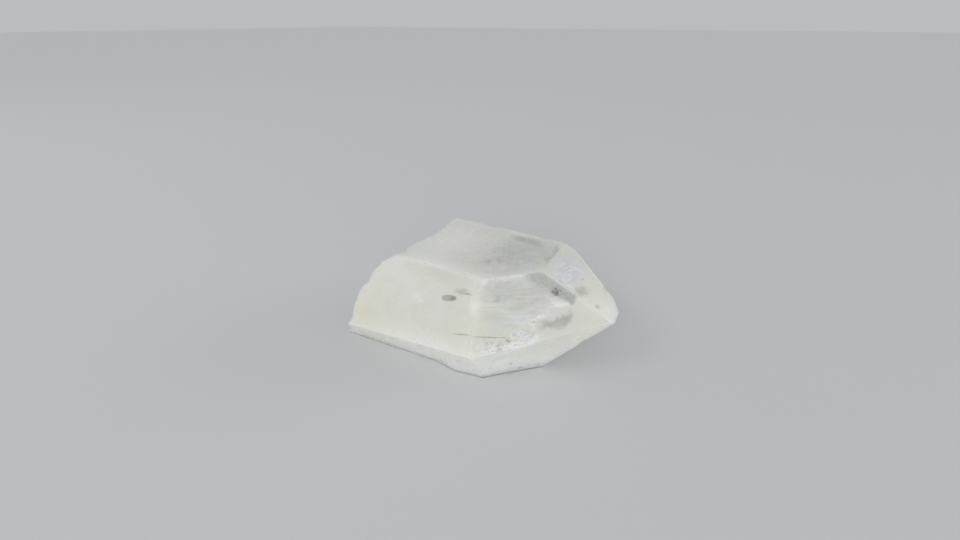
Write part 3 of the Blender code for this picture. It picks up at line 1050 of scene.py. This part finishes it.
def with_painted_window(recipe, colour):
    """The colour with the window's painted shade and the darker painted marks in it."""
    mottle = recipe.noise(1.2, 4.0, 0.7).step(0.35, 0.65) * 0.4 + 0.5
    colour = recipe.mix(window(recipe) * mottle, colour, WINDOW_PAINTED_SHADE)
    for mark in WINDOW_PAINTED_MARKS:
        colour = recipe.mix(spot(recipe, *mark, wavy=False) * mottle, colour, WINDOW_PAINTED_DARK)
    return colour


def window(recipe):
    """The window under the tip face, clear and darkened by painted shade: a band over its lower
    border, 1 inside and 0 outside.
    """
    place = patch_frame(*WINDOW)[0]
    turn = face_turn(WINDOW[0], WINDOW[3])
    local = recipe.add(
        "ShaderNodeSeparateXYZ", {}, {0: recipe.placed(place, (1.0, 1.0, 1.0), turn)}, output=None
    )
    along, across, height = (Signal(recipe, socket) for socket in local.outputs)
    shown, full, ending, ended = WINDOW_REACH
    reach = along.step(shown, full) * (1.0 - along.step(ending, ended))
    soft, sharp = WINDOW_FADE
    fade = soft - along.step(full, ending) * (soft - sharp)
    border = (recipe.noise(WINDOW_BORDER, 3.0) - 0.5) * WINDOW_BORDER
    over_border = ((across + border) / fade).step(-WINDOW_SOFTNESS, WINDOW_SOFTNESS)
    return reach * over_border * height.step(*WINDOW_DEPTHS)


def glossy_milk(recipe, colour, roughness, relief=None):
    """Milky quartz with a glossy face, which light enters and glows in."""
    sockets = {"Base Color": colour, "Roughness": roughness, "IOR": QUARTZ_IOR, **GLOW}
    return recipe.principled({**sockets, **(relief or {})})


def haze(recipe):
    """The faint grey-green haze of the clear quartz."""
    return recipe.add(
        "ShaderNodeVolumeAbsorption", {}, {"Color": HAZE_COLOUR, "Density": HAZE_DENSITY}
    )


def clearness(recipe):
    """How clear the surface is: the clear patches, streaked along the growth lines."""
    clear = 0.0
    for *patch, share, _ in CLEAR_PATCHES:
        clear = (spot(recipe, *patch, PATCH_SOFTNESS) * share).maximum(clear)
    streaks = recipe.noise(0.9, 5.0, 0.7, 0.3, stretch=(7.0, 1.0, 1.0), turn=GROWTH_TURN)
    clouds = recipe.noise(4.5, 4.0, 0.6)
    clear = clear * (streaks.step(0.25, 0.7) * 0.25 + clouds.step(0.2, 0.6) * 0.35 + 0.4)
    return (window(recipe) * WINDOW_CLEAR).maximum(clear)


def growth_bump(recipe):
    """The relief of the natural faces: growth lines, a slight swell and small pits."""
    lines = recipe.noise(1.0, 2.0, stretch=(0.5, 12.0, 12.0))
    swell = recipe.noise(9.0, 1.0)
    pits = recipe.noise(1.2, 4.0, 0.65)
    return recipe.bump(lines * 0.35 + swell + pits * 0.4, FACE_BUMP)


def face_quartz():
    """The natural faces: milky quartz under a glossy face, and see-through in the clear patches."""
    recipe = Recipe("face_quartz")
    normal = growth_bump(recipe)
    smudge = recipe.noise(12.0, 3.0, 0.6).step(0.3, 0.8)
    milk = glossy_milk(recipe, milk_colour(recipe), smudge * 0.1 + 0.24, {"Normal": normal})
    clear = recipe.principled(
        {
            "Base Color": (1.0, 1.0, 1.0, 1.0),
            "Roughness": smudge * 0.05 + 0.04,
            "IOR": QUARTZ_IOR,
            "Transmission Weight": 1.0,
            "Normal": normal,
        }
    )
    inside = recipe.add("ShaderNodeNewGeometry", output="Backfacing")
    share = clearness(recipe).maximum(inside)  # from inside, the light leaves freely
    surface = recipe.add("ShaderNodeMixShader", {}, {0: share, 1: milk, 2: clear})
    return recipe.finish(surface, haze(recipe))


def worn_shaded_edge():
    """The rounded edges: milky quartz, greyed by painted shade, and frosted white in broken
    stretches.
    """
    recipe = Recipe("worn_shaded_edge")
    frost = recipe.noise(3.0, 4.0, 0.7).step(0.55, 0.75)
    # painted shade greys the edges against the light that fills them from both sides
    worn_and_shaded = recipe.mix(EDGE_SHADE_SHARE, milk_colour(recipe), EDGE_PAINTED_SHADE)
    colour = recipe.mix(frost * 0.3, worn_and_shaded, MILK_BRIGHT)
    return recipe.finish(glossy_milk(recipe, colour, frost * 0.2 + 0.35))


def broken_quartz():
    """The broken base and the chips: white, sugary and glossy in small facets."""
    recipe = Recipe("broken_quartz")
    grain = recipe.noise(0.8, 4.0, 0.7)
    clouds = recipe.noise(7.0, 4.0, 0.6).step(0.35, 0.7)
    colour = recipe.mix(clouds * 0.6, MILK, MILK_WARM)
    colour = recipe.mix(grain.step(0.35, 0.5), MILK_GREY, colour)
    normal = recipe.bump(grain, BREAK_BUMP)
    roughness = recipe.noise(2.0, 3.0) * 0.3 + 0.2
    return recipe.finish(glossy_milk(recipe, colour, roughness, {"Normal": normal}))


def milky_quartz():
    """The milky heart behind the clear patches: whiter than the milk, as it lies in its shade."""
    recipe = Recipe("milky_quartz")
    clouds = recipe.noise(4.0, 5.0, 0.65).step(0.3, 0.7)
    colour = recipe.mix(clouds * 0.4 + 0.4, milk_colour(recipe), HEART_WHITE)
    return recipe.finish(
        recipe.principled(
            {"Base Color": colour, "Roughness": 0.8, "Specular IOR Level": 0.0, **GLOW}
        )
    )


def fracture_walls():
    """The walls of an inner fracture: small facets painted from silver white glints to dark
    reflections, in patches.
    """
    recipe = Recipe("silver_fracture")
    glint = recipe.add("ShaderNodeAttribute", {"attribute_name": "glint"}, output="Fac")
    cover = recipe.add("ShaderNodeAttribute", {"attribute_name": "cover"}, output="Fac")
    painted_shine = glint.step(FRACTURE_DARK_SHARE / 2.0, FRACTURE_DARK_SHARE)
    colour = recipe.mix(painted_shine, FRACTURE_PAINTED_DARK_GLINT, FRACTURE_PAINTED_GLINT)
    patches = recipe.noise(FRACTURE_GAPS, 5.0, 0.75)
    surface = recipe.principled(
        {
            "Base Color": colour,
            "Roughness": 0.3,
            "Metallic": glint.step(0.85, 0.88),
            "Alpha": (patches - 0.62 + cover * 0.35).step(0.0, 0.12),
        }
    )
    return recipe.finish(surface)


def table_top():
    """A plain pale table with a very faint mottle."""
    recipe = Recipe("table_top")
    mottle = recipe.noise(60.0, 2.0)
    colour = recipe.mix(mottle * 0.2, TABLE_COLOUR, TABLE_MOTTLE)
    return recipe.finish(recipe.principled({"Base Color": colour, "Roughness": 0.6}))


# -------------------------------- the pieces

skin = build_skin(face_quartz(), worn_shaded_edge(), broken_quartz())
heart = build_heart(milky_quartz())
walls = fracture_walls()
fractures = [build_fracture(*fracture, walls) for fracture in FRACTURES]
for piece in (skin, heart, *fractures):
    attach(piece, "root")
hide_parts("crystal")

# -------------------------------- table, light and camera

TABLE_REACH = 6000.0
TABLE_GAP = 0.03  # the table lies this far below the crystal, so that no faces coincide
WORLD_COLOUR = (0.93, 0.95, 0.97, 1.0)
WORLD_STRENGTH = 0.53
CAMERA_PLACE = Vector((71.77, -125.27, 104.34))
CAMERA_AIM = Vector((-0.45147, 0.75704, -0.47229))
CAMERA_LENS = 17.55
CAMERA_SENSOR = 36.0
CAMERA_NEAREST = 5.0


def softbox(name, place, target, size, power):
    """A square soft light, in mm, that faces its target."""
    light = bpy.data.lights.new(name, "AREA")
    light.shape = "SQUARE"
    light.size = size * MM
    light.energy = power
    lamp = add_object(name, light)
    lamp.location = Vector(place) * MM
    lamp.rotation_euler = (Vector(target) - Vector(place)).to_track_quat("-Z", "Y").to_euler()


def soft_sun(name, source, strength, angle_deg):
    """Soft parallel light that comes from a direction; its angle gives the shadows' softness."""
    light = bpy.data.lights.new(name, "SUN")
    light.energy = strength
    light.angle = math.radians(angle_deg)
    lamp = add_object(name, light)
    lamp.rotation_euler = Vector(source).to_track_quat("Z", "Y").to_euler()


table_corners = TABLE_REACH * np.array(((-1, -1, 0), (1, -1, 0), (1, 1, 0), (-1, 1, 0)), float)
table_corners[:, 2] = -TABLE_GAP
floor = add_piece("table", table_corners, [(0, 1, 2, 3)], (table_top(),))

world = bpy.data.worlds.new("studio")
world.use_nodes = True
background = world.node_tree.nodes["Background"]
background.inputs["Color"].default_value = WORLD_COLOUR
background.inputs["Strength"].default_value = WORLD_STRENGTH
bpy.context.scene.world = world

softbox("soft_window", (-600.0, -700.0, 800.0), (0.0, 0.0, 15.0), 500.0, 1.5)
soft_sun("front_sun", (0.35, -1.0, 0.42), 1.13, 45.0)
soft_sun("back_sun", (0.75, 0.61, 0.27), 0.33, 30.0)

camera_data = bpy.data.cameras.new("camera")
camera_data.lens = CAMERA_LENS
camera_data.sensor_width = CAMERA_SENSOR
camera_data.clip_start = CAMERA_NEAREST * MM
camera = add_object("camera", camera_data)
camera.location = CAMERA_PLACE * MM
camera.rotation_euler = CAMERA_AIM.to_track_quat("-Z", "Y").to_euler()
bpy.context.scene.camera = camera
bpy.context.scene.view_settings.view_transform = "Standard"

bpy.context.view_layer.update()
